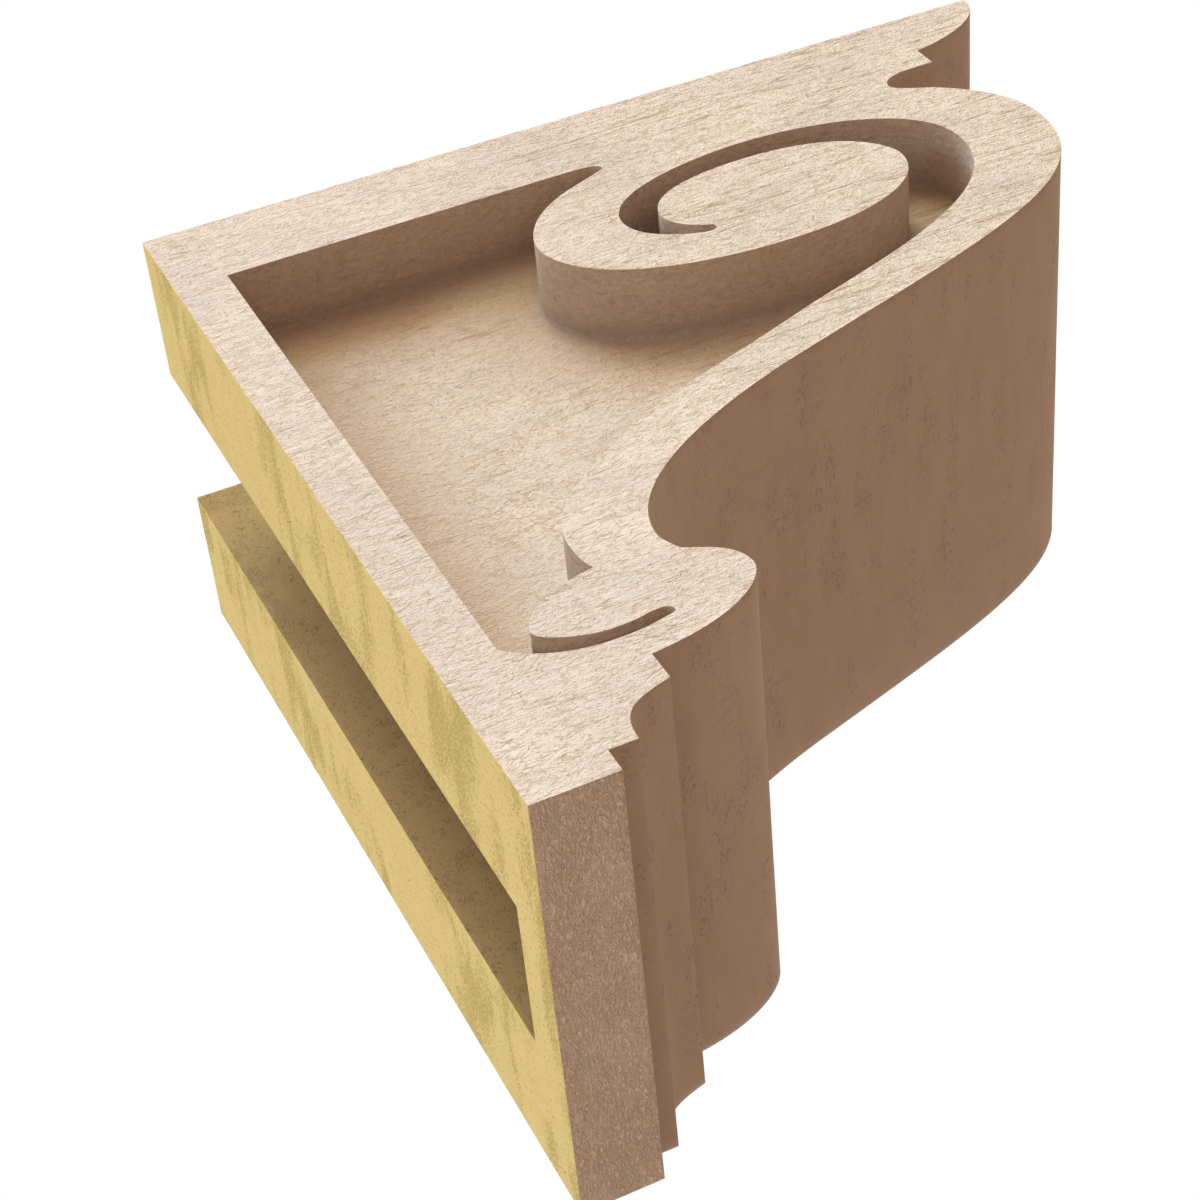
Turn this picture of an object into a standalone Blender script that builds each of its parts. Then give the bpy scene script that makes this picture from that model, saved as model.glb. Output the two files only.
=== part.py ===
# Urethane corbel: one cast foam bracket with a scrolled profile, a sunk panel
# in each side face and a slot in the back, open at the top, to hang it by.
#
# Metres, +Z up. The back face lies in the plane Y = 0 and looks along +Y, the
# corbel stands out towards -Y, and its width runs along X, centred on X = 0.
# The origin is on the back face, in the middle of the solid band under the slot.

import math
from collections import namedtuple

import bmesh
import bpy
from mathutils import Vector
from mathutils.geometry import interpolate_bezier

# Driving dimensions
HEIGHT = 0.3048
PROJECTION = 0.3048
WIDTH = 0.1524
PANEL_DEPTH = 0.0254
SLOT_WIDTH = WIDTH / 3
SLOT_DEPTH = 0.0254
BAND_HEIGHT = 0.0194
ORIGIN_UP = BAND_HEIGHT / 2

# How far a cutter stands clear of the faces that it opens
CLEAR = 0.01

# Curved stretches are cut into flats that turn and run no further than this
FLAT_TURN = math.radians(5)
FLAT_RUN = 0.006
COARSE_STEPS = 24
SMOOTH_ANGLE = math.radians(32)

# Foam colour, linear, as it is painted at the factory
FOAM_COLOUR = (0.72, 0.56, 0.43, 1.0)
FOAM_ROUGHNESS = 0.78

# A place on the side face is a share of the projection, out from the wall, and
# a share of the height, up from the foot. A station is a place that a curve
# passes: its heading there is in degrees, 0 straight out and 90 straight up, and
# back and ahead are the lengths of its two handles, as shares of the height.
Station = namedtuple("Station", "out up heading back ahead")

PLINTH_OUT = 1 / 12
PLINTH_UP = 0.0275
COVE = (
    Station(1 / 9, PLINTH_UP, 90, 0, 0.0388),
    Station(1 / 6, 1 / 12, 16, 0.0393, 0),
)
NOSE = (
    Station(1 / 6, 0.1182, 4, 0, 0.0925),
    Station(0.2981, 0.1859, 90, 0.0207, 0.0344),
    Station(0.2520, 0.2370, 130, 0.0093, 0),
)
SWEEP = (
    Station(0.2520, 0.2370, 120, 0, 0.0084),
    Station(0.2426, 0.2617, 90, 0.0044, 0.1173),
    Station(0.5118, 0.4584, 18, 0.0265, 0.2796),
    Station(0.9290, 0.7290, 90, 0.1440, 0.0400),
    Station(0.8641, 0.8370, 143, 0.0520, 0.0070),
    Station(0.8235, 0.8661, 90, 0.0092, 0.0231),
    Station(0.8700, 0.8886, 0, 0.0088, 0),
)
FILLET_OUT = 0.8920
FILLET_UP = 0.8886
CROWN = (
    Station(FILLET_OUT, 0.9210, 11, 0, 0.0525),
    Station(1, 1, 90, 0.0442, 0),
)

PANEL_BACK = 0.0562
PANEL_TOP = 0.8880
PANEL_POINT = (
    Station(0.4500, PANEL_TOP, 0, 0, 0.0130),
    Station(0.4768, 0.8770, -90, 0.0072, 0.0030),
    Station(0.4300, 0.8559, 203, 0.0228, 0.0683),
)
SCROLL = (
    PANEL_POINT[-1],
    Station(0.3500, 0.7622, -90, 0.0212, 0.0649),
    Station(0.5880, 0.6401, 0, 0.1551, 0.0931),
    Station(0.7607, 0.7328, 90, 0.0607, 0.0188),
    Station(0.6128, 0.8125, 180, 0.1186, 0.0506),
    Station(0.4859, 0.7491, -90, 0.0537, 0.0008),
    Station(0.5146, 0.7133, -28, 0.0297, 0.0090),
    Station(0.5257, 0.7040, -90, 0.0061, 0.0050),
)
GROOVE = (
    SCROLL[-1],
    Station(0.5152, 0.6989, 180, 0.0053, 0.0060),
    Station(0.4464, 0.7611, 90, 0.0416, 0.0562),
    Station(0.6294, 0.8439, 0, 0.0827, 0.0734),
    Station(0.8307, 0.7300, -90, 0.0849, 0.1288),
)
BELLY = (
    GROOVE[-1],
    Station(0.5189, 0.5149, 201, 0.1165, 0.1323),
    Station(0.3239, 0.4409, 208, 0.0500, 0.1742),
    Station(0.1682, 0.2793, -90, 0.0350, 0.0099),
    Station(0.1740, 0.2505, -60, 0.0078, 0),
)
CURL = (
    Station(0.1740, 0.2505, 189, 0, 0.0758),
    Station(0.0897, 0.1962, -90, 0.0068, 0.0166),
    Station(0.1509, 0.1653, 0, 0.0150, 0.0408),
    Station(0.2011, 0.1695, 0, 0.0250, 0.0048),
    Station(0.2100, 0.1616, -90, 0.0034, 0.0039),
    Station(0.1923, 0.1556, 194, 0.0054, 0.0153),
    Station(0.1507, 0.1515, 180, 0.0169, 0.0431),
    Station(PANEL_BACK, 0.1900, 130, 0.0273, 0),
)


def place(station):
    return Vector((station.out, station.up))


def heading(station):
    turn = math.radians(station.heading)
    return Vector((math.cos(turn), math.sin(turn)))


def flats_in(span):
    """How many flats a span is cut into, from how long it is and how far it turns"""
    points = interpolate_bezier(*span, COARSE_STEPS)
    chords = [after - before for before, after in zip(points, points[1:]) if after != before]
    run = sum(chord.length for chord in chords) * HEIGHT
    turn = sum(before.angle(after) for before, after in zip(chords, chords[1:]))
    return max(2, math.ceil(run / FLAT_RUN), math.ceil(turn / FLAT_TURN))


def curve(stations):
    """Places along the smooth line through a row of stations"""
    points = []
    for start, end in zip(stations, stations[1:]):
        ahead = place(start) + start.ahead * heading(start)
        back = place(end) - end.back * heading(end)
        span = (place(start), ahead, back, place(end))
        points += interpolate_bezier(*span, flats_in(span) + 1)[:-1]
    return points + [place(stations[-1])]


def profile_outline():
    """The side face's outline: foot, cove, nose, sweep, crown and back edge"""
    outline = [Vector((0, 0)), Vector((PLINTH_OUT, 0)), Vector((PLINTH_OUT, PLINTH_UP))]
    outline += curve(COVE) + curve(NOSE) + curve(SWEEP)[1:]
    outline += [Vector((FILLET_OUT, FILLET_UP))] + curve(CROWN)
    return outline + [Vector((0, 1))]


def panel_outline():
    """The sunk panel's outline, round the scroll, along the belly and round the curl"""
    outline = [Vector((PANEL_BACK, PANEL_TOP))] + curve(PANEL_POINT)
    for stations in (SCROLL, GROOVE, BELLY, CURL):
        outline += curve(stations)[1:]
    return outline


def slab(name, outline, low_x, high_x):
    """A solid of the outline's shape, from low_x to high_x across the width"""
    bm = bmesh.new()
    verts = [bm.verts.new((low_x, -p.x * PROJECTION, p.y * HEIGHT - ORIGIN_UP)) for p in outline]
    base = bm.faces.new(verts)
    grown = bmesh.ops.extrude_face_region(bm, geom=[base])
    moved = [item for item in grown["geom"] if isinstance(item, bmesh.types.BMVert)]
    bmesh.ops.translate(bm, verts=moved, vec=(high_x - low_x, 0, 0))
    bmesh.ops.recalc_face_normals(bm, faces=bm.faces)
    mesh = bpy.data.meshes.new(name)
    bm.to_mesh(mesh)
    bm.free()
    mesh.shade_smooth()
    mesh.set_sharp_from_angle(angle=SMOOTH_ANGLE)
    solid = bpy.data.objects.new(name, mesh)
    bpy.context.scene.collection.objects.link(solid)
    return solid


def cut(body, cutter):
    """Takes the cutter out of the body and keeps it as a hidden guide"""
    cutter.hide_render = True
    cutter.display_type = "WIRE"
    cutter.parent = body
    boolean = body.modifiers.new(cutter.name, "BOOLEAN")
    boolean.operation = "DIFFERENCE"
    boolean.solver = "EXACT"
    boolean.object = cutter


def sunk_panels():
    """One cutter for each side face, a panel deep"""
    outline = panel_outline()
    side = WIDTH / 2
    left = slab("left_panel_cutter", outline, -side - CLEAR, PANEL_DEPTH - side)
    right = slab("right_panel_cutter", outline, side - PANEL_DEPTH, side + CLEAR)
    return [left, right]


def hanging_slot():
    """The cutter for the slot, which leaves through the back face and the top"""
    end, mouth = SLOT_DEPTH / PROJECTION, -CLEAR / PROJECTION
    floor, top = BAND_HEIGHT / HEIGHT, 1 + CLEAR / HEIGHT
    corners = ((mouth, floor), (end, floor), (end, top), (mouth, top))
    outline = [Vector(corner) for corner in corners]
    return slab("slot_cutter", outline, -SLOT_WIDTH / 2, SLOT_WIDTH / 2)


def foam_skin():
    skin = bpy.data.materials.new("foam_skin")
    skin.use_nodes = True
    shader = skin.node_tree.nodes["Principled BSDF"]
    shader.inputs["Base Color"].default_value = FOAM_COLOUR
    shader.inputs["Roughness"].default_value = FOAM_ROUGHNESS
    shader.inputs["Metallic"].default_value = 0.0
    skin.diffuse_color = FOAM_COLOUR
    return skin


def main():
    for old in list(bpy.data.objects):
        bpy.data.objects.remove(old, do_unlink=True)
    corbel = slab("corbel", profile_outline(), -WIDTH / 2, WIDTH / 2)
    corbel.data.materials.append(foam_skin())
    for cutter in sunk_panels() + [hanging_slot()]:
        cut(corbel, cutter)


main()
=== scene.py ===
# Urethane corbel: the sawn and cast foam skin, the raw back, the light and the camera
import math
import random

import bmesh
import bpy
import numpy as np
from mathutils import Matrix, Vector, noise
from mathutils.geometry import delaunay_2d_cdt, interpolate_bezier
from mathutils.kdtree import KDTree


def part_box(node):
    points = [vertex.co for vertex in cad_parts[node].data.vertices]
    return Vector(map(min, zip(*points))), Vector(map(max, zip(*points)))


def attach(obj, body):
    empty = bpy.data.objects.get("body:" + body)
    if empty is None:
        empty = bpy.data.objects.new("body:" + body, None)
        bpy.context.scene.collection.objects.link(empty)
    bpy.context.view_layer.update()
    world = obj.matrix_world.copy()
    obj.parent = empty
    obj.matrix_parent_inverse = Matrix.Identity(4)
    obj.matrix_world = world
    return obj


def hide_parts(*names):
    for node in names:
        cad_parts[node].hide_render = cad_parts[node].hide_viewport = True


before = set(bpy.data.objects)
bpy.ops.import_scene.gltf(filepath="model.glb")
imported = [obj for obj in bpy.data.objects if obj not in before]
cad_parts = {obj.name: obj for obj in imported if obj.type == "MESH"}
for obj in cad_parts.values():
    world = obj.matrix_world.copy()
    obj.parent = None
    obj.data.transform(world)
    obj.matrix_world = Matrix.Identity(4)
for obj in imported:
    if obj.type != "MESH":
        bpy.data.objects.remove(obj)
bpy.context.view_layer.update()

random.seed(7)  # so that the side faces' points fall the same way each run

# the casting's overall size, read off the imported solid
low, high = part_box("corbel")
width, projection, height = high - low
print("frame loaded: corbel %.4f wide, %.4f out, %.4f high" % (width, projection, height))

corbel = {
    "panelDepth": 0.0254,
    "slotDepth": 0.0254,
    "bandHeight": 0.0194,  # solid foam left under the slot
    "gap": 0.0019,  # spacing of the points on the side faces and along every outline
    # the staggered points inside a side face, as shares of the gap: the spacing of their
    # rows, how far each strays from its place, and how near one may come to an outline
    "rowStep": 0.866,
    "shake": 0.15,
    "clear": 0.62,
    "acrossRows": 45,  # rows of faces across the width, a multiple of three for the slot
    "depthRows": 7,  # rows of faces down a panel wall
    "fillet": 0.0014,  # radius of the corner at the foot of a panel wall
    "filletRows": 4,
    "filletRoom": 0.8,  # share of the room in a narrow place that the fillet may take
    "filletLeast": 0.0003,
    "filletEvened": 4,  # times that the radius is evened out along the wall
    "turn": 7,  # degrees that a curve may turn from one point to the next
    "leastPieces": 2,  # pieces that the stretch between two stations has at least
    "trialPoints": 24,  # points on the first, rough copy of such a stretch
    "edge": 0.0004,  # radius of the cast edges
    "edgeRows": 2,
    "sharp": 35,  # degrees that make an edge of the casting
    "flat": 24,  # degrees past which the shading breaks
    "wallShadeReach": 0.045,  # how far from the foot of a panel wall its painted shade dies out
    "hair": 1e-6,  # places nearer than this are the same place
}

# A station is (out, up, heading, back, ahead): shares of the projection and the
# height, degrees from straight out, and two handle lengths as shares of the height.
footLine = ((0, 0), (1 / 12, 0), (1 / 12, 0.0275), (1 / 9, 0.0275))
coveLine = (
    (1 / 9, 0.0275, 90, 0, 0.0388),
    (1 / 6, 1 / 12, 16, 0.0393, 0),
)
noseLine = (
    (1 / 6, 0.1182, 4, 0, 0.0925),
    (0.2981, 0.1859, 90, 0.0207, 0.0344),
    (0.2520, 0.2370, 130, 0.0093, 0),
)
sweepLine = (
    (0.2520, 0.2370, 120, 0, 0.0084),
    (0.2426, 0.2617, 90, 0.0044, 0.1173),
    (0.5118, 0.4584, 18, 0.0265, 0.2796),
    (0.9290, 0.7290, 90, 0.1440, 0.0400),
    (0.8641, 0.8370, 143, 0.0520, 0.0070),
    (0.8235, 0.8661, 90, 0.0092, 0.0231),
    (0.8700, 0.8886, 0, 0.0088, 0),
)
filletLine = ((0.8700, 0.8886), (0.8920, 0.8886), (0.8920, 0.9210))
crownLine = (
    (0.8920, 0.9210, 11, 0, 0.0525),
    (1, 1, 90, 0.0442, 0),
)
panelBack, panelTop = 0.0562, 0.8880
pointLine = (
    (0.4500, panelTop, 0, 0, 0.0130),
    (0.4768, 0.8770, -90, 0.0072, 0.0030),
    (0.4300, 0.8559, 203, 0.0228, 0.0683),
)
scrollLine = (
    pointLine[-1],
    (0.3500, 0.7622, -90, 0.0212, 0.0649),
    (0.5880, 0.6401, 0, 0.1551, 0.0931),
    (0.7607, 0.7328, 90, 0.0607, 0.0188),
    (0.6128, 0.8125, 180, 0.1186, 0.0506),
    (0.4859, 0.7491, -90, 0.0537, 0.0008),
    (0.5146, 0.7133, -28, 0.0297, 0.0090),
    (0.5257, 0.7040, -90, 0.0061, 0.0050),
)
grooveLine = (
    scrollLine[-1],
    (0.5152, 0.6989, 180, 0.0053, 0.0060),
    (0.4464, 0.7611, 90, 0.0416, 0.0562),
    (0.6294, 0.8439, 0, 0.0827, 0.0734),
    (0.8307, 0.7300, -90, 0.0849, 0.1288),
)
bellyLine = (
    grooveLine[-1],
    (0.5189, 0.5149, 201, 0.1165, 0.1323),
    (0.3239, 0.4409, 208, 0.0500, 0.1742),
    (0.1682, 0.2793, -90, 0.0350, 0.0099),
    (0.1740, 0.2505, -60, 0.0078, 0),
)
curlLine = (
    (0.1740, 0.2505, 189, 0, 0.0758),
    (0.0897, 0.1962, -90, 0.0068, 0.0166),
    (0.1509, 0.1653, 0, 0.0150, 0.0408),
    (0.2011, 0.1695, 0, 0.0250, 0.0048),
    (0.2100, 0.1616, -90, 0.0034, 0.0039),
    (0.1923, 0.1556, 194, 0.0054, 0.0153),
    (0.1507, 0.1515, 180, 0.0169, 0.0431),
    (panelBack, 0.1900, 130, 0.0273, 0),
)


def spot(station):
    return Vector((station[0] * projection, station[1] * height))


def curve(stations):
    # the smooth line through a row of stations, in metres out and up
    points = []
    for start, end in zip(stations, stations[1:]):
        leave, reach = (math.radians(station[2]) for station in (start, end))
        ahead = spot(start) + Vector((math.cos(leave), math.sin(leave))) * start[4] * height
        back = spot(end) - Vector((math.cos(reach), math.sin(reach))) * end[3] * height
        span = (spot(start), ahead, back, spot(end))
        trial = interpolate_bezier(*span, corbel["trialPoints"])
        chords = [after - before for before, after in zip(trial, trial[1:]) if after != before]
        length = sum(chord.length for chord in chords)
        turned = sum(before.angle(after) for before, after in zip(chords, chords[1:]))
        pieces = max(length / corbel["gap"], math.degrees(turned) / corbel["turn"], corbel["leastPieces"])
        points += interpolate_bezier(*span, math.ceil(pieces) + 1)[:-1]
    return points + [spot(stations[-1])]


def run(*stations):
    # straight runs from corner to corner, cut into even steps
    corners = [spot(station) for station in stations]
    points = []
    for start, end in zip(corners, corners[1:]):
        steps = math.ceil((end - start).length / corbel["gap"])
        points += [start.lerp(end, step / steps) for step in range(steps)]
    return points + [corners[-1]]


def joined(*lines):
    # lines laid end to end, each starting where the one before it ends
    points = []
    for line in lines:
        points += line[1:] if points and (points[-1] - line[0]).length < corbel["hair"] else line
    return points


frontLine = joined(
    run(*footLine),
    curve(coveLine),
    run(coveLine[-1], noseLine[0]),
    curve(noseLine),
    curve(sweepLine),
    run(*filletLine),
    curve(crownLine),
)
slotOut, bandUp = corbel["slotDepth"] / projection, corbel["bandHeight"] / height
topLine = run((1, 1), (slotOut, 1), (0, 1))
backLine = run((0, 1), (0, bandUp), (0, 0))
profileLoop = joined(frontLine, topLine, backLine)[:-1]
panelLoop = joined(
    run((panelBack, panelTop), pointLine[0]),
    curve(pointLine),
    curve(scrollLine),
    curve(grooveLine),
    curve(bellyLine),
    curve(curlLine),
    run(curlLine[-1], (panelBack, panelTop)),
)[:-1]
# the walls with painted shade at their foot: all but the lower belly and the curl
shadedWallFoot = joined(
    run(curlLine[-1], (panelBack, panelTop), pointLine[0]),
    curve(pointLine),
    curve(scrollLine),
    curve(grooveLine),
    curve(bellyLine[:2]),
)
print("outlines: %d points round the profile, %d round a panel" % (len(profileLoop), len(panelLoop)))

sawn, cast, wall, foot, raw, slot = range(6)  # the order of the finishes on the mesh


def at(x, point):
    return Vector((x, -point.x, point.y + low.z))


def sheet(bm, rows, finish, keep=lambda row, column: True):
    # a sheet of four-sided faces through rows of points
    grid = [[bm.verts.new(point) for point in row] for row in rows]
    for r in range(len(rows) - 1):
        for c in range(len(rows[0]) - 1):
            if keep(r, c):
                corners = (grid[r][c], grid[r][c + 1], grid[r + 1][c + 1], grid[r + 1][c])
                bm.faces.new(corners).material_index = finish


def insideOf(places, loops):
    # which places lie inside the first loop and outside the holes
    inside = np.zeros(len(places), bool)
    out, up = places[:, 0], places[:, 1]
    for loop in loops:
        for a, b in zip(loop, loop[1:] + loop[:1]):
            if a.y != b.y:
                crossed = (a.y > up) != (b.y > up)
                inside ^= crossed & (out < a.x + (up - a.y) * (b.x - a.x) / (b.y - a.y))
    return inside


def finder(points):
    # a search tree for the nearest of some places
    tree = KDTree(len(points))
    for index, point in enumerate(points):
        tree.insert(point.to_3d(), index)
    tree.balance()
    return tree


def filling(loops):
    # a staggered grid of places inside the loops, clear of their edges
    gap, rowStep, shake = corbel["gap"], corbel["rowStep"], corbel["shake"]
    tree = finder([point for loop in loops for point in loop])
    places = []
    for row in range(int(height / gap / rowStep) + 1):
        for column in range(int(projection / gap) + 1):
            shaken = (random.uniform(-shake, shake), random.uniform(-shake, shake))
            out = (column + row % 2 / 2 + shaken[0]) * gap
            up = (row + shaken[1]) * gap * rowStep
            places.append((out, up))
    places = np.array(places)
    places = places[insideOf(places, loops)]
    return [Vector(p) for p in places if tree.find(Vector((*p, 0)))[2] > gap * corbel["clear"]]


def flatFace(bm, loops, x, finish):
    # a flat face across the corbel at x, in even triangles
    points, edges = [], []
    for loop in loops:
        first = len(points)
        points += loop
        edges += [(first + i, first + (i + 1) % len(loop)) for i in range(len(loop))]
    points += filling(loops)
    insideOnly = 1  # leaves out the triangles beyond the outer loop, but not those in the holes
    points, _, faces, *_ = delaunay_2d_cdt(points, edges, [], insideOnly, corbel["hair"])
    centres = np.array([[sum(points[i][axis] for i in face) / 3 for axis in (0, 1)] for face in faces])
    verts = [bm.verts.new(at(x, point)) for point in points]
    for face, kept in zip(faces, insideOf(centres, loops)):
        if kept:
            bm.faces.new([verts[i] for i in face]).material_index = finish


def wallFoot(loop):
    # at each point of a panel's outline, the way into the panel and the radius of the
    # fillet at the foot of its wall, which is smaller where the panel has less room
    places = np.array(loop)
    ahead = np.roll(places, -1, 0) - np.roll(places, 1, 0)
    ahead /= np.linalg.norm(ahead, axis=1)[:, None]
    area = sum(a.x * b.y - b.x * a.y for a, b in zip(loop, loop[1:] + loop[:1]))
    inward = np.stack([-ahead[:, 1], ahead[:, 0]], 1) * math.copysign(1, area)
    apart = places[None] - places[:, None]
    facing = (apart * inward[:, None]).sum(2)
    inFront = facing > corbel["hair"]
    # radius of the circle that rests on the wall at one point and passes through another
    room = np.full(facing.shape, np.inf)
    room[inFront] = (apart ** 2).sum(2)[inFront] / (2 * facing[inFront])
    radius = np.clip(corbel["filletRoom"] * room.min(1), corbel["filletLeast"], corbel["fillet"])
    for _ in range(corbel["filletEvened"]):
        radius = np.minimum(radius, (np.roll(radius, 1) + radius + np.roll(radius, -1)) / 3)
    return [Vector(way) for way in inward], [float(r) for r in radius]


def panel(bm, side):
    # a sunk panel: its walls, the fillets at their feet, and its floor
    inward, radius = wallFoot(panelLoop)
    deep = math.copysign(corbel["panelDepth"], -side)
    rows = []
    for row in range(corbel["depthRows"]):
        share = row / corbel["depthRows"]
        depths = [(corbel["panelDepth"] - r) * share for r in radius]
        rows.append([at(side + math.copysign(d, deep), p) for p, d in zip(panelLoop, depths)])
    for row in range(corbel["filletRows"] + 1):
        turn = math.radians(90 * row / corbel["filletRows"])
        ring = []
        for p, way, r in zip(panelLoop, inward, radius):
            depth = corbel["panelDepth"] - r * (1 - math.sin(turn))
            ring.append(at(side + math.copysign(depth, deep), p + way * r * (1 - math.cos(turn))))
        rows.append(ring)
    sheet(bm, [row + row[:1] for row in rows], wall)
    flatFace(bm, [[p + way * r for p, way, r in zip(panelLoop, inward, radius)]], side + deep, sawn)


def corbelMesh():
    bm = bmesh.new()
    rows, slotRows = corbel["acrossRows"], corbel["acrossRows"] // 3
    across = [low.x + width * row / rows for row in range(rows + 1)]
    for side in (low.x, high.x):
        flatFace(bm, [profileLoop, panelLoop], side, sawn)
        panel(bm, side)
    footEnd = frontLine.index(spot(footLine[1]))
    sheet(bm, [[at(x, point) for point in frontLine[:footEnd + 1]] for x in across], foot)
    sheet(bm, [[at(x, point) for point in frontLine[footEnd:]] for x in across], cast)
    addTopAndBack(bm, across, range(slotRows, 2 * slotRows))
    addSlot(bm, across[slotRows:2 * slotRows + 1])
    bmesh.ops.delete(bm, geom=[vert for vert in bm.verts if not vert.link_faces], context="VERTS")
    bmesh.ops.remove_doubles(bm, verts=bm.verts, dist=corbel["hair"])
    bmesh.ops.recalc_face_normals(bm, faces=bm.faces)
    openEdges = sum(not edge.is_manifold for edge in bm.edges)
    print("casting joined: %d faces, %d open edges" % (len(bm.faces), openEdges))
    return bm


def addTopAndBack(bm, across, inSlot):
    # the top and back faces, with the slot's rows left open as far as it reaches
    slotEnd = corbel["slotDepth"] - corbel["hair"]
    slotFoot = corbel["bandHeight"] + corbel["hair"]
    topRows = [[at(x, point) for point in topLine] for x in across]
    sheet(bm, topRows, foot, lambda r, c: r not in inSlot or topLine[c + 1].x >= slotEnd)
    backRows = [[at(x, point) for point in backLine] for x in across]
    sheet(bm, backRows, raw, lambda r, c: r not in inSlot or backLine[c].y <= slotFoot)


def addSlot(bm, across):
    # the slot's two cheeks, its inner face and its floor
    outs = [point.x for point in topLine if point.x <= corbel["slotDepth"] + corbel["hair"]]
    ups = [point.y for point in backLine if point.y >= corbel["bandHeight"] - corbel["hair"]]
    for x in (across[0], across[-1]):
        sheet(bm, [[at(x, Vector((out, up))) for up in ups] for out in outs], slot)
    sheet(bm, [[at(x, Vector((corbel["slotDepth"], up))) for up in ups] for x in across], slot)
    sheet(bm, [[at(x, Vector((out, corbel["bandHeight"]))) for out in outs] for x in across], slot)


relief = {
    # how deep each finish undulates, and the length of its waves along the grain and across it
    "waves": {
        sawn: {"depth": 0.00026, "along": 0.030, "across": 0.0075},
        cast: {"depth": 0.00010, "along": 0.050, "across": 0.0150},
        wall: {"depth": 0.00010, "along": 0.050, "across": 0.0150},
        foot: {"depth": 0.00016, "along": 0.014, "across": 0.0070},
        raw: {"depth": 0.00010, "along": 0.030, "across": 0.0120},
        slot: {"depth": 0.00010, "along": 0.030, "across": 0.0120},
    },
    "through": 0.020,  # length of the sawn waves along the width, so that the floors get their own
    "middle": 0.50,  # the waves' mean, swing and finer ripple, as shares of the depth
    "swing": 0.65,
    "ripple": 0.25,
    "finer": 2.3,  # how much shorter the ripple is than the waves
    "moved": (5, 1, 9),  # and how far it is moved, so that it doesn't match them
    "atEdges": 0.35,  # share of the depth that is left where two faces meet
}


def addRelief(bm):
    # the faint waves of a hand-finished pattern, only ever into the foam
    moves = []
    for vert in bm.verts:
        finishes = {face.material_index for face in vert.link_faces}
        waves = relief["waves"][max(finishes)]
        corner = any(edge.calc_face_angle(0) > math.radians(corbel["sharp"]) for edge in vert.link_edges)
        x, y, z = vert.co
        if finishes == {sawn}:
            place = Vector((x / relief["through"], y / waves["along"], z / waves["across"]))
        else:
            place = Vector((x / waves["along"], y / waves["across"], z / waves["across"]))
        ripple = noise.noise(place * relief["finer"] + Vector(relief["moved"]))
        wave = relief["middle"] + relief["swing"] * noise.noise(place) + relief["ripple"] * ripple
        depth = waves["depth"] * min(max(wave, 0), 1) * (relief["atEdges"] if corner else 1)
        moves.append(vert.normal * -depth)
    for vert, move in zip(bm.verts, moves):
        vert.co += move


def roundEdges(bm):
    sharp = [edge for edge in bm.edges if edge.calc_face_angle(0) > math.radians(corbel["sharp"])]
    bmesh.ops.bevel(
        bm, geom=sharp, offset=corbel["edge"], offset_type="OFFSET", segments=corbel["edgeRows"],
        profile=0.5, affect="EDGES", clamp_overlap=True, loop_slide=True, material=-1,
    )


class Wire:
    # a shader socket that can be used in ordinary sums, each of which adds a Math node
    def __init__(self, nodes, socket):
        self.nodes, self.socket = nodes, socket

    def reckon(self, operation, first, second):
        return self.nodes.node("ShaderNodeMath", {"operation": operation}, {0: first, 1: second})

    def __add__(self, other):
        return self.reckon("ADD", self, other)

    def __radd__(self, other):
        return self.reckon("ADD", other, self)

    def __sub__(self, other):
        return self.reckon("SUBTRACT", self, other)

    def __rsub__(self, other):
        return self.reckon("SUBTRACT", other, self)

    def __mul__(self, other):
        return self.reckon("MULTIPLY", self, other)

    def __rmul__(self, other):
        return self.reckon("MULTIPLY", other, self)


class Nodes:
    # a node tree, of the sky or of a material
    def __init__(self, tree):
        self.tree = tree

    def node(self, kind, settings={}, sockets={}, out=0):
        made = self.tree.nodes.new(kind)
        for name, value in settings.items():
            setattr(made, name, value)
        for name, value in sockets.items():
            self.feed(made.inputs[name], value)
        return Wire(self, made.outputs[out])

    def feed(self, socket, value):
        if isinstance(value, Wire):
            self.tree.links.new(value.socket, socket)
        elif socket.type == "RGBA":
            socket.default_value = (*value, 1)
        else:
            socket.default_value = value


dust = {
    # the soft glow of fine dust on foam, which each look takes by its own "sheen"
    "roughness": 0.4,
    "tint": (1.0, 0.75, 0.5),
}


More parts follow.
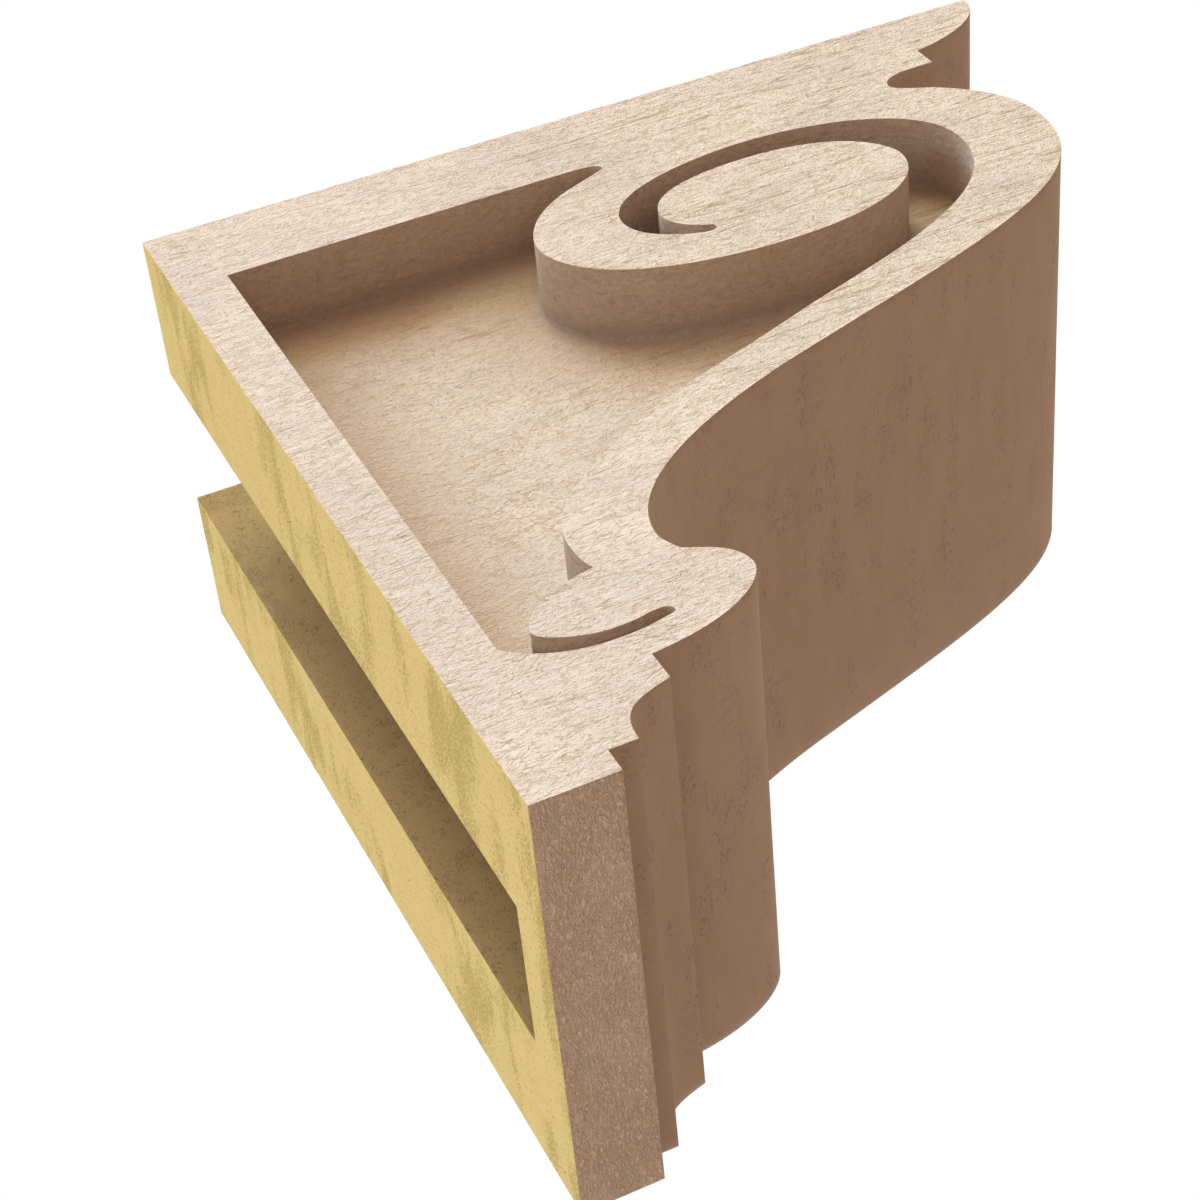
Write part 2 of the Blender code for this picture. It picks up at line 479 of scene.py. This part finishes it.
class Finish(Nodes):
    # one material of the casting; every size is in millimetres, as (across, out, up)
    def __init__(self, name):
        self.material = bpy.data.materials.new(name)
        self.material.use_nodes = True
        super().__init__(self.material.node_tree)
        self.place = self.node("ShaderNodeTexCoord", out="Object")

    def scaled(self, sizes):
        steps = [1000 / size for size in sizes]
        return self.node("ShaderNodeVectorMath", {"operation": "MULTIPLY"}, {0: self.place, 1: steps})

    def noise(self, sizes, detail=2.0, rough=0.5, warp=0.0):
        shape = {"Scale": 1.0, "Detail": detail, "Roughness": rough, "Distortion": warp}
        return self.node("ShaderNodeTexNoise", {}, {"Vector": self.scaled(sizes), **shape})

    def between(self, value, start, end):
        # 0 before start, 1 past end, and smooth between
        ends = {"Value": value, "From Min": start, "From Max": end}
        return self.node("ShaderNodeMapRange", {"interpolation_type": "SMOOTHSTEP"}, ends)

    def patches(self, sizes, start, end, **shape):
        # patches of about these sizes, where a noise is past start and end
        return self.between(self.noise(sizes, **shape), start, end)

    def size(self, value):
        return self.node("ShaderNodeMath", {"operation": "ABSOLUTE"}, {0: value})

    def along(self, axis):
        # the place along one axis, in metres
        return self.node("ShaderNodeSeparateXYZ", {}, {0: self.place}, axis)

    def wallShadeAt(self, start, end):
        # the painted shade at the foot of a panel wall: none before start, all past end
        near = self.node("ShaderNodeAttribute", {"attribute_name": "paintedWallShade"}, {}, "Fac")
        return self.between(near, start, end)

    def mix(self, share, first, second):
        ends = {"Factor": share, 6: first, 7: second}
        return self.node("ShaderNodeMix", {"data_type": "RGBA"}, ends, 2)

    def lines(self, sizes, thin, detail=2.0, warp=0.3):
        # thin wandering lines, where a stretched noise passes its middle value
        return 1 - self.between(self.size(self.noise(sizes, detail, warp=warp) - 0.5), 0.0, thin)

    def crevices(self, sizes, thin, warp):
        # the torn edges between chips of about these sizes
        ways = {"Vector": self.scaled(sizes), "Scale": 1.7, "Detail": 3.0}
        shaken = self.node("ShaderNodeTexNoise", {}, ways, "Color")
        moved = {0: shaken, 1: (warp, warp, warp), 2: self.scaled(sizes)}
        cells = self.node("ShaderNodeVectorMath", {"operation": "MULTIPLY_ADD"}, moved)
        cell = {"Vector": cells, "Scale": 1.0}
        edge = self.node("ShaderNodeTexVoronoi", {"feature": "DISTANCE_TO_EDGE"}, cell)
        return 1 - self.between(edge, 0.0, thin)

    def pits(self, sizes, radius, share):
        # small holes scattered over the surface; share is how many cells have one
        flatShare, fade = 0.4, 0.02  # how wide a hole's floor is, and how sharp the choice of cells
        cell = {"Vector": self.scaled(sizes), "Scale": 1.0}
        near = self.node("ShaderNodeTexVoronoi", {}, cell, "Distance")
        cellShade = self.node("ShaderNodeTexVoronoi", {}, cell, "Color")
        chance = self.node("ShaderNodeSeparateColor", {}, {"Color": cellShade}, "Red")
        holes = 1 - self.between(near, radius * flatShare, radius)
        return holes * (1 - self.between(chance, share, share + fade))

    def close(self, colour, raised, look):
        # raised runs from 0 to 1, and look holds its full depth in metres
        shader = self.tree.nodes["Principled BSDF"]
        bump = self.node("ShaderNodeBump", {}, {"Distance": look["deep"], "Height": raised})
        self.feed(shader.inputs["Base Color"], colour)
        self.feed(shader.inputs["Normal"], bump)
        self.feed(shader.inputs["Roughness"], look["roughness"])
        self.feed(shader.inputs["Specular IOR Level"], look["gloss"])
        self.feed(shader.inputs["Sheen Weight"], look["sheen"])
        self.feed(shader.inputs["Sheen Roughness"], dust["roughness"])
        self.feed(shader.inputs["Sheen Tint"], dust["tint"])
        return self.material


sawnLook = {
    "pale": (0.77, 0.643, 0.56),  # towards the wall
    "warm": (0.872, 0.722, 0.612),  # towards the front
    # the brown of painted shade in the grain's hollows, also of its real specks and torn edges
    "shadeAndSpeckBrown": (0.56, 0.395, 0.25),
    "crack": (0.38, 0.255, 0.135),
    "paintedWallShade": (0.60, 0.435, 0.305),  # painted shade on the panel floors, towards their walls
    "corner": (0.40, 0.30, 0.235),  # painted shade right at the foot of a panel wall
    "sunkFrom": 0.003,  # how deep in a panel its floor's own grain starts and is whole
    "sunkBy": 0.020,
    "frontFrom": 0.20,  # the same for the front's grain, as shares of the projection
    "frontBy": 0.55,
    "deep": 0.0009,
    "roughness": 0.85,
    "gloss": 0.15,
    "sheen": 0.0,
}


def sawnFinish():
    # the side faces and panel floors: rough-sawn timber grain running out from the wall
    f, look = Finish("sawnFoam"), sawnLook
    out = f.along("Y")
    sunk = f.between(f.size(f.along("X")), width / 2 - look["sunkFrom"], width / 2 - look["sunkBy"])
    front = f.between(out, -look["frontFrom"] * projection, -look["frontBy"] * projection)
    worn = f.patches((25, 26, 16), 0.40, 0.60, rough=0.6)
    # the crust, in ledges near the wall and in lumps towards the front and on the floors
    ledges = f.noise((2.4, 6.5, 1.7), detail=4.0, rough=0.60, warp=0.35)
    lumps = f.noise((2.2, 2.6, 1.8), detail=5.0, rough=0.66)
    crust = lumps + (0.32 + 0.36 * worn) * (1 - 0.85 * front) * (1 - 0.6 * sunk) * (ledges - lumps)
    crumb = f.noise((0.7, 0.8, 0.65), rough=0.6)
    grit = f.noise((1.3, 1.5, 1.2), detail=3.0, rough=0.65)
    grains = f.patches((0.9, 1.0, 0.9), 0.57, 0.68, rough=0.6)
    chipped = f.patches((20, 24, 17), 0.44, 0.60, detail=4.0, rough=0.65) * sunk
    crumbled = f.patches((3.6, 4.6, 3.2), 0.62, 0.70, detail=3.0, rough=0.7)
    crumbled = crumbled * f.between(crumb, 0.44, 0.60) * sunk
    # what is torn or cracked
    broken = f.between(f.noise((4.0, 6.0, 3.0), detail=3.0) + 0.03 * sunk, 0.46, 0.58)
    tears = f.crevices((9.0, 8.0, 3.0), 0.14, 0.9) * broken * (1 - 0.2 * sunk)
    nicks = f.crevices((3.0, 3.6, 1.4), 0.22, 0.7) * f.between(crust, 0.54, 0.44)
    nicks = nicks * (1 - broken) * (1 - 0.6 * front)
    cracks = f.lines((12, 60, 5.5), 0.016) * f.patches((3.0, 7.0, 3.0), 0.44, 0.54) * worn
    crossCracks = f.lines((12, 6.5, 40), 0.012) * f.patches((3.0, 3.0, 7.0), 0.50, 0.60) * worn
    sawLines = f.lines((12, 90, 4.5), 0.023, detail=1.0, warp=0.1)
    sawLines = sawLines * f.patches((4.0, 9.0, 4.0), 0.33, 0.46) * front
    pits = f.pits((7.0, 9.0, 7.0), 0.10, 0.06)
    raised = (0.80 - 0.46 * sunk) * crust + (0.34 + 0.14 * front + 0.10 * sunk) * crumb
    raised = raised + (0.18 * sunk + 0.30 * chipped + 0.28 * front) * grit
    raised = raised - 0.14 * tears - 0.06 * nicks - 0.15 * cracks - 0.15 * sawLines
    raised = raised - 0.1 * crossCracks - 0.6 * pits - 0.2 * crumbled - 0.08 * grains
    tint = f.between(f.noise((30, 34, 22)) - 0.8 * out, 0.42, 0.80)
    colour = f.mix(tint, look["pale"], look["warm"])
    # painted shade on the panel floors near their walls, darkest right at a wall's foot
    colour = f.mix(0.72 * sunk * f.wallShadeAt(0.0, 0.9), colour, look["paintedWallShade"])
    colour = f.mix(0.50 * sunk * f.wallShadeAt(0.82, 0.97), colour, look["corner"])
    # painted shade in the low spots of the crumb and the grit
    lowSpotShade = f.between(crumb, 0.48, 0.36) * (0.15 + 0.12 * front + 0.15 * sunk)
    lowSpotShade = lowSpotShade + f.between(grit, 0.50, 0.39) * (0.45 * chipped + 0.28 * front * (1 - sunk))
    # painted shade in the hollows of the crust, with the grain's real specks
    shadeAndSpecks = 0.25 * f.between(crust, 0.50, 0.37) + 0.5 * grains + lowSpotShade
    colour = f.mix(shadeAndSpecks, colour, look["shadeAndSpeckBrown"])
    # the torn edges and crumbled spots: partly real tears, partly painted shade in their grooves
    torn = (0.50 + 0.25 * chipped) * tears + 0.30 * nicks + 0.55 * crumbled
    colour = f.mix(torn, colour, look["shadeAndSpeckBrown"])
    cracked = 0.45 * cracks + 0.50 * sawLines + (0.30 + 0.20 * front) * crossCracks
    colour = f.mix(cracked, colour, look["crack"])
    colour = f.mix(0.8 * pits, colour, look["crack"])
    return f.close(colour, raised, look)


castLook = {
    "skin": (0.57, 0.43, 0.325),
    "shade": (0.53, 0.395, 0.30),
    "speck": (0.24, 0.17, 0.12),
    "deep": 0.0003,
    "roughness": 0.75,
    "gloss": 0.12,
    "sheen": 0.25,
}


def castFinish():
    # the faces swept across the width: smooth skin with a few specks and scratches
    f, look = Finish("castFoam"), castLook
    streaks = f.patches((30, 12, 12), 0.3, 0.7, detail=4.0, rough=0.6)
    fine = f.noise((2.0, 0.9, 0.9), detail=3.0, rough=0.6)
    worn = f.patches((30, 9.0, 9.0), 0.46, 0.66, detail=3.0, rough=0.65)
    marks = f.patches((1.8, 1.0, 1.0), 0.53, 0.68, detail=3.0, rough=0.7) * worn
    specks = f.patches((1.4, 0.8, 0.8), 0.66, 0.76, detail=3.0, rough=0.7) * worn
    scratches = f.lines((2.2, 16, 16), 0.014, detail=1.0)
    scratches = scratches * f.patches((14, 22, 22), 0.62, 0.68, detail=1.0)
    raised = 0.5 * fine - 0.6 * marks - 0.3 * scratches
    colour = f.mix(streaks, look["skin"], look["shade"])
    colour = f.mix(0.3 * marks + 0.7 * specks + 0.2 * scratches, colour, look["speck"])
    return f.close(colour, raised, look)


recessLook = {
    "rim": (0.72, 0.548, 0.43),
    "depth": (0.575, 0.45, 0.375),  # painted shade where the wall is deepest in the panel; its stains take this colour too
    # painted highlight on the tops of the lumps
    "high": (0.82, 0.63, 0.48),
    # painted shade in the hollows between the lumps, a colour that the rings take too
    "nickAndHollowShade": (0.29, 0.205, 0.145),
    # painted shade right at the foot of the wall
    "corner": (0.40, 0.30, 0.235),
    "deep": 0.0019,
    "roughness": 0.8,
    "gloss": 0.12,
    "sheen": 0.15,
}


def recessFinish():
    # the panel walls: a lumpy skin with fine lines round the rim, in painted shade that darkens with
    # depth and fills the hollows, with painted highlights on the lumps
    f, look = Finish("recessFoam"), recessLook
    crust = f.noise((1.7, 2.3, 2.3), detail=6.0, rough=0.70, warp=0.4)
    rings = f.noise((1.1, 16, 16), detail=3.0, rough=0.6)
    stains = f.noise((14, 11, 11), detail=3.0, rough=0.6)
    # the deepest hollows of the crust where it is stained: partly stain, partly painted shade
    nicks = f.between(crust, 0.43, 0.36) * f.between(stains, 0.42, 0.58)
    inward = f.between(f.size(f.along("X")), width / 2, width / 2 - corbel["panelDepth"])
    raised = 0.75 * crust + 0.25 * rings
    # painted shade: darker the deeper the wall goes into the panel
    colour = f.mix(0.7 * inward, look["rim"], look["depth"])
    colour = f.mix(0.25 * f.between(stains, 0.35, 0.65), colour, look["depth"])
    # painted highlights on the tops of the lumps
    colour = f.mix(0.25 * f.between(crust, 0.52, 0.66), colour, look["high"])
    # painted shade in the hollows between the lumps, darker in the stained deepest hollows
    colour = f.mix(0.20 * f.between(crust, 0.52, 0.39) + 0.12 * nicks, colour, look["nickAndHollowShade"])
    colour = f.mix(0.15 * f.between(rings, 0.56, 0.66), colour, look["nickAndHollowShade"])
    # painted shade at the foot of the wall
    colour = f.mix(0.35 * f.wallShadeAt(0.82, 0.97), colour, look["corner"])
    return f.close(colour, raised, look)


footLook = {
    "high": (0.88, 0.66, 0.49),
    # the colour of the painted shade in the creases and between the pads
    "low": (0.60, 0.43, 0.305),
    "deep": 0.0010,
    "roughness": 0.8,
    "gloss": 0.15,
    "sheen": 0.0,
}


def footFinish():
    # the underside and the top: a wrinkled skin, drawn out along the width
    f, look = Finish("wrinkledFoam"), footLook
    deeper = f.patches((26, 13, 13), 0.34, 0.56, detail=3.0, rough=0.6)
    pads = f.patches((1.8, 0.85, 0.85), 0.36, 0.60, detail=3.0, rough=0.6, warp=0.6)
    creases = f.lines((2.6, 1.25, 1.25), 0.09, detail=3.0, warp=0.8)
    crumb = f.noise((0.9, 0.6, 0.6), rough=0.6)
    raised = (0.36 + 0.10 * deeper) * pads + 0.30 * crumb - (0.16 + 0.06 * deeper) * creases
    # painted shade in the creases and between the pads
    shaded = 0.14 * (1 - pads) + (0.12 + 0.08 * deeper) * creases
    colour = f.mix(shaded, look["high"], look["low"])
    return f.close(colour, raised, look)


rawLook = {
    "foam": (0.85, 0.645, 0.265),
    "lit": (0.85, 0.645, 0.265),  # painted light towards the open top
    "litFrom": 0.55,  # where that starts and is whole, as shares of the height
    "litBy": 0.95,
    "olive": (0.72, 0.535, 0.165),
    "speck": (0.50, 0.36, 0.08),
    "freckled": 0.50,  # how dark the freckles, the dots and the blotches are
    "dotted": 0.4,
    "blotched": 0.1,
    "deep": 0.0005,
    "roughness": 0.8,
    "gloss": 0.15,
    "sheen": 0.0,
}
# the same raw foam in the slot, painted much darker as shade
slotLook = {
    **rawLook,
    "foam": (0.39, 0.257, 0.115),
    "lit": (0.46, 0.31, 0.12),
    "olive": (0.37, 0.24, 0.10),
    "speck": (0.20, 0.13, 0.055),
    "freckled": 0.2,
    "dotted": 0.5,
    "blotched": 0.5,
    "deep": 0.0002,
}


def rawFinish(name, look):
    # bare yellow foam, freckled in bands that run along the width
    f = Finish(name)
    streaks = f.patches((45, 14, 14), 0.30, 0.70, detail=4.0, rough=0.6)
    bands = f.patches((75, 24, 24), 0.47, 0.61, detail=5.0, rough=0.62, warp=0.3)
    fine = f.noise((1.6, 0.9, 0.9), detail=3.0, rough=0.65)
    freckles = f.between(f.noise((1.3, 0.85, 0.85), rough=0.65) + 0.15 * bands, 0.61, 0.69)
    clusters = f.patches((14, 7.0, 7.0), 0.46, 0.58, rough=0.6)
    dots = f.between(f.noise((1.3, 0.9, 0.9), detail=1.0) + 0.06 * clusters, 0.70, 0.75)
    blotches = f.patches((4.5, 2.6, 2.6), 0.52, 0.64, detail=5.0, rough=0.7) * clusters
    raised = 0.5 * fine - 0.5 * freckles - 0.5 * dots
    # painted light: brighter towards the open top, where light falls into the slot
    lit = f.between(f.along("Z"), look["litFrom"] * height, look["litBy"] * height)
    colour = f.mix(lit, look["foam"], look["lit"])
    colour = f.mix(0.25 * streaks + 0.26 * bands, colour, look["olive"])
    marks = look["freckled"] * freckles + look["dotted"] * dots + look["blotched"] * blotches
    colour = f.mix(marks, colour, look["speck"])
    return f.close(colour, raised, look)


def addWallShade(mesh):
    # how near each point is to the foot of the walls that get painted shade: 1 there, 0 out of reach
    tree = finder(shadedWallFoot)
    near = []
    for vert in mesh.vertices:
        overFloor = abs(vert.co.x) - width / 2 + corbel["panelDepth"]
        aside = tree.find(Vector((-vert.co.y, vert.co.z - low.z, 0)))[2]
        near.append(max(0, 1 - max(overFloor, aside) / corbel["wallShadeReach"]))
    mesh.attributes.new("paintedWallShade", "FLOAT", "POINT").data.foreach_set("value", near)


def makeCorbel():
    bm = corbelMesh()
    addRelief(bm)
    roundEdges(bm)
    mesh = bpy.data.meshes.new("corbelSkin")
    bm.to_mesh(mesh)
    bm.free()
    mesh.shade_smooth()
    mesh.set_sharp_from_angle(angle=math.radians(corbel["flat"]))
    addWallShade(mesh)
    finishes = {
        sawn: sawnFinish(),
        cast: castFinish(),
        wall: recessFinish(),
        foot: footFinish(),
        raw: rawFinish("rawFoam", rawLook),
        slot: rawFinish("slotFoam", slotLook),
    }
    for index in sorted(finishes):
        mesh.materials.append(finishes[index])
    piece = bpy.data.objects.new("corbelSkin", mesh)
    bpy.context.scene.collection.objects.link(piece)
    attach(piece, "root")
    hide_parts("corbel")
    mesh.calc_loop_triangles()
    print("corbel skin: %d triangles" % len(mesh.loop_triangles))


studio = {
    "sky": (0.44, 0.33, 0.265),  # warm light from all round, on what the lamps don't reach
    "backdrop": (1.0, 1.0, 1.0),
    "floorDrop": 0.62,  # how far the floor lies below the corbel's origin
    "floorSize": 12.0,
    "floorShade": (0.80, 0.76, 0.72),
    "floorRoughness": 0.9,
    # name: towards the lamp, strength, colour, how wide it looks in degrees
    "lamps": {
        "warmLamp": ((-0.866, 0.03, 0.50), 1.04, (1.0, 0.965, 0.63), 34),
        "coolLamp": ((-0.53, 0.08, 0.848), 3.52, (0.605, 0.80, 1.0), 50),
        "backLamp": ((0.12, 0.88, -0.46), 0.62, (0.75, 0.955, 1.0), 15),
        "edgeLamp": ((-0.36, 0.92, 0.10), 0.56, (0.80, 0.95, 1.0), 15),
        "farLamp": ((0.97, 0.0, 0.2), 2.0, (0.90, 0.98, 1.0), 50),
    },
}


def makeSky():
    # the camera sees a plain backdrop, and everything else the warm sky
    world = bpy.data.worlds.new("studio")
    bpy.context.scene.world = world
    world.use_nodes = True
    n = Nodes(world.node_tree)
    sky = n.node("ShaderNodeBackground", {}, {"Color": studio["sky"]})
    backdrop = n.node("ShaderNodeBackground", {}, {"Color": studio["backdrop"]})
    seen = n.node("ShaderNodeLightPath", out="Is Camera Ray")
    light = n.node("ShaderNodeMixShader", {}, {"Fac": seen, 1: sky, 2: backdrop})
    n.feed(n.tree.nodes["World Output"].inputs["Surface"], light)


def makeFloor():
    bpy.ops.mesh.primitive_plane_add(size=studio["floorSize"], location=(0, 0, -studio["floorDrop"]))
    floor = bpy.context.object
    floor.name = "floor"
    paint = bpy.data.materials.new("floorPaint")
    paint.use_nodes = True
    n = Nodes(paint.node_tree)
    shader = n.tree.nodes["Principled BSDF"]
    n.feed(shader.inputs["Base Color"], studio["floorShade"])
    n.feed(shader.inputs["Roughness"], studio["floorRoughness"])
    floor.data.materials.append(paint)
    floor.visible_diffuse = False  # so that it throws no light up at the corbel
    floor.visible_shadow = False  # and doesn't stand in the way of the back lamp


def makeStudio():
    makeSky()
    for name, (towards, strength, colour, spread) in studio["lamps"].items():
        lamp = bpy.data.lights.new(name, "SUN")
        lamp.energy, lamp.color, lamp.angle = strength, colour, math.radians(spread)
        holder = bpy.data.objects.new(name, lamp)
        holder.rotation_euler = Vector(towards).to_track_quat("Z", "Y").to_euler()
        bpy.context.scene.collection.objects.link(holder)
    makeFloor()
    bpy.context.scene.view_settings.view_transform = "Standard"
    print("studio: %d lamps" % len(studio["lamps"]))


eye = {
    "place": (-0.52277, 0.15714, -0.47203),
    "aim": (0.00994, -0.11217, 0.15158),
    "roll": -39.75,
    "lens": 82.518,
    "shift": (-0.0603, -0.0166),
    "nearest": 0.01,  # what is nearer than this isn't seen
}


def makeCamera():
    camera = bpy.data.objects.new("eye", bpy.data.cameras.new("eye"))
    camera.data.lens = eye["lens"]
    camera.data.shift_x, camera.data.shift_y = eye["shift"]
    camera.data.clip_start = eye["nearest"]
    look = (Vector(eye["aim"]) - Vector(eye["place"])).to_track_quat("-Z", "Y").to_matrix()
    look = look @ Matrix.Rotation(math.radians(eye["roll"]), 3, "Z")
    camera.matrix_world = Matrix.Translation(eye["place"]) @ look.to_4x4()
    bpy.context.scene.collection.objects.link(camera)
    bpy.context.scene.camera = camera
    print("camera: below and behind the corbel, on its left")


makeCamera()
makeStudio()
makeCorbel()
